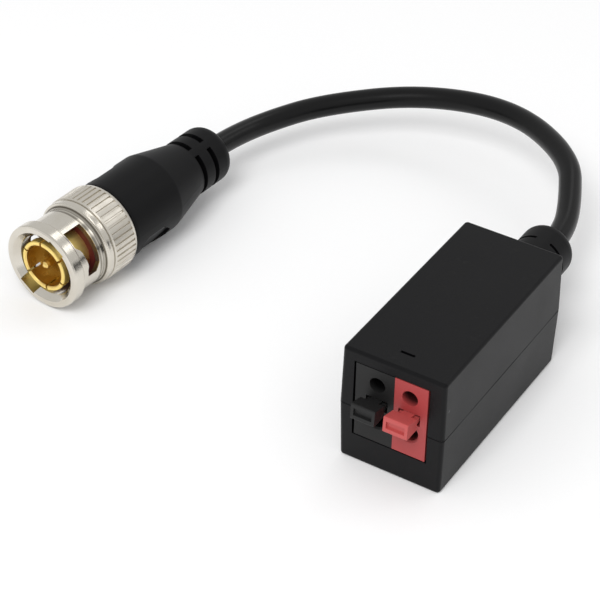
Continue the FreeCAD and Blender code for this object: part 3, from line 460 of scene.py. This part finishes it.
# %% [markdown]
# Behind the nut's slots sits a dark red silicone gasket, and a plastic insulator carries the
# pin. Both are seen only through the mouth and the slots.

# %% Gasket and insulator


def silicone():
    finish = Finish("gasket_silicone", Specular_IOR_Level=0.4)
    cloud = finish.noise(0.8 * MM, 2.0)
    finish.feed("Base Color", cloud.mixes((0.085, 0.006, 0.008, 1), (0.13, 0.012, 0.012, 1)))
    finish.feed("Roughness", 0.42 + 0.16 * cloud)
    finish.relief(cloud, 0.02 * MM)
    return finish.material


def insulator_plastic():
    finish = Finish("insulator_plastic", Specular_IOR_Level=0.4)
    cloud = finish.noise(1.5 * MM, 2.0)
    finish.feed("Base Color", cloud.mixes((0.62, 0.50, 0.30, 1), (0.70, 0.58, 0.36, 1)))
    finish.feed("Roughness", 0.38 + 0.1 * cloud)
    finish.relief(cloud, 0.01 * MM)
    return finish.material


dress(silicone(), "gasket")
dress(insulator_plastic(), "insulator")

# %% [markdown]
# What is inside the box and the terminal is seen at most through a small hole, but each piece
# still gets the finish of its own material: spring steel, tinned copper, a green circuit
# board, dark ferrite, enamelled wire and fired ceramic.

# %% Inner pieces


def plain_metal(name, colour, rough):
    finish = Finish(name, Metallic=1.0)
    streaks = finish.noise(1.0 * MM, 3.0, 0.5, finish.place.stretched((1.0, 12.0, 12.0)))
    darker = tuple(0.8 * part for part in colour)
    finish.feed("Base Color", (streaks * 0.6).mixes((*colour, 1), (*darker, 1)))
    finish.feed("Roughness", rough + 0.15 * streaks)
    finish.relief(streaks, 0.004 * MM)
    return finish.material


def plain_solid(name, colour, rough, size):
    finish = Finish(name)
    grain = finish.noise(size, 3.0)
    paler = tuple(1.5 * part for part in colour)
    finish.feed("Base Color", grain.mixes((*colour, 1), (*paler, 1)))
    finish.feed("Roughness", rough + 0.1 * grain)
    finish.relief(grain, 0.02 * MM)
    return finish.material


dress(plain_metal("spring_steel", (0.55, 0.55, 0.54), 0.22),
      "spring_clip_black", "spring_clip_red", "thrust_spring", "retaining_ring")
dress(plain_metal("tinned_copper", (0.66, 0.65, 0.62), 0.3),
      "contact_bar_black", "contact_bar_red", "braid_tail", "crimp_ferrule")
dress(plain_metal("enamelled_copper", (0.62, 0.25, 0.10), 0.25),
      "winding_line_side", "winding_video_side", "coax_conductor_tail")
dress(plain_solid("green_board", (0.012, 0.11, 0.035), 0.35, 0.8 * MM), "circuit_board")
dress(plain_solid("ferrite", (0.035, 0.033, 0.034), 0.6, 0.2 * MM), "toroid_core")
dress(plain_solid("chip_ceramic", (0.05, 0.04, 0.03), 0.5, 0.2 * MM),
      "chip_resistor", "chip_capacitor")

# %% [markdown]
# The table is plain white paper. The floor's colour makes the white, and one soft lamp, in
# front and overhead, makes the shadows of the box, the plug and the lead.

# %% The table
TABLE_WIDTH = 6.0


def make_floor():
    bpy.ops.mesh.primitive_plane_add(size=TABLE_WIDTH, location=(0, 0, 0))
    floor = bpy.context.object
    floor.name = "table_top"
    finish = Finish("white_paper", Roughness=0.9, Specular_IOR_Level=0.1)
    fibre = finish.noise(0.6 * MM, 3.0)
    finish.feed("Base Color", fibre.mixes((0.95, 0.95, 0.952, 1), (0.97, 0.97, 0.972, 1)))
    finish.relief(fibre, 0.004 * MM)
    floor.data.materials.append(finish.material)
    return floor


floor = make_floor()
print("table top, metres across:", floor.dimensions.x)

# %% [markdown]
# Polished metal looks like what it mirrors. The room is therefore pale grey, with white lamps:
# the nut then shows the white table, the grey room and the bright lamps side by side. The lamp
# that makes the shadows is small and bright, and would show in the metal as hot spots. So it
# isn't mirrored, and a dimmer lamp in the same place is.

# %% The lamps and the room
MIDDLE = Vector((-0.03, 0.02, 0.01))
ROOM_BRIGHTNESS = 0.71
# Name, place in metres, width in metres, brightness, and whether polished things mirror it.
LAMPS = [
    ("lamp_overhead", (0.03, -0.33, 0.46), 0.24, 7.0, False),
    ("lamp_front", (0.03, -0.33, 0.461), 0.26, 1.3, True),
    ("lamp_right", (0.29, 0.35, 0.38), 0.16, 1.5, True),
    ("lamp_back", (-0.04, 0.38, 0.47), 0.16, 1.5, True),
]


def soft_lamp(name, place, width, bright, mirrored):
    """A square lamp of a given surface brightness, turned to face the object's middle."""
    data = bpy.data.lights.new(name, "AREA")
    data.shape = "SQUARE"
    data.size = width
    data.energy = bright * math.pi * width * width
    lamp = bpy.data.objects.new(name, data)
    lamp.visible_glossy = mirrored
    lamp.location = place
    lamp.rotation_mode = "QUATERNION"
    lamp.rotation_quaternion = (MIDDLE - Vector(place)).to_track_quat("-Z", "Y")
    bpy.context.scene.collection.objects.link(lamp)


def make_room(bright):
    world = bpy.data.worlds.new("grey_room")
    bpy.context.scene.world = world
    world.use_nodes = True
    background = world.node_tree.nodes["Background"]
    background.inputs["Color"].default_value = (1.0, 1.0, 1.0, 1.0)
    background.inputs["Strength"].default_value = bright


for row in LAMPS:
    soft_lamp(*row)
make_room(ROOM_BRIGHTNESS)
bpy.context.scene.view_settings.view_transform = "Standard"

# %% [markdown]
# The dressed model must stay as large as the CAD model. This cell only brings the view layer up
# to date.

# %% Updating the view layer
bpy.context.view_layer.update()
